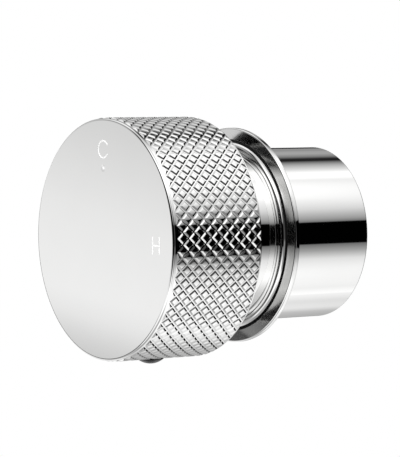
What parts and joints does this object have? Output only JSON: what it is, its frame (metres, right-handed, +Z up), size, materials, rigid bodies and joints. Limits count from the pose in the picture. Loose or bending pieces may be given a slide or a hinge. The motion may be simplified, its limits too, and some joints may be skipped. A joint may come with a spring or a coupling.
{
  "type": "tap handle",
  "caption": "Round tap handle with a diamond-knurled rim and flat C and H marked face, on a chromed dress sleeve with a sliding wall flange.",
  "frame": {"origin": "on the tap's axis in the plane of the finished wall, at the back face of the wall flange", "axes": "+Y into the wall along the tap's axis, -Y towards the user, +Z up through the C mark"},
  "size_m": [0.05, 0.0549, 0.051],
  "materials": {
    "chromed_handle": "chrome plate on brass, fine satin face",
    "chromed_sleeve": "mirror chrome plate on brass",
    "chromed_flange": "mirror chrome plate on brass",
    "bush_brass": "machined brass",
    "screw_steel": "plain steel",
    "plug_plastic": "gloss black",
    "glide_plastic": "black acetal",
    "seal_rubber": "black rubber"
  },
  "bodies": {
    "sleeve_body": {"sleeve": "chromed_sleeve", "sleeve_seal": "seal_rubber"},
    "handle_body": {"knurled_handle": "chromed_handle", "spindle_bush": "bush_brass", "grub_screw": "screw_steel", "screw_plug": "plug_plastic", "glide_ring": "glide_plastic"},
    "flange_body": {"flange": "chromed_flange", "flange_seal": "seal_rubber"}
  },
  "joints": [
    {"name": "handle_turn", "type": "hinge", "parent": "sleeve_body", "child": "handle_body", "pos_m": [0, 0, 0], "axis": [0, -1, 0], "range_deg": [0, 90]},
    {"name": "flange_slide", "type": "slide", "parent": "sleeve_body", "child": "flange_body", "axis": [0, 1, 0], "range_m": [-0.0085, 0.016]}
  ]
}
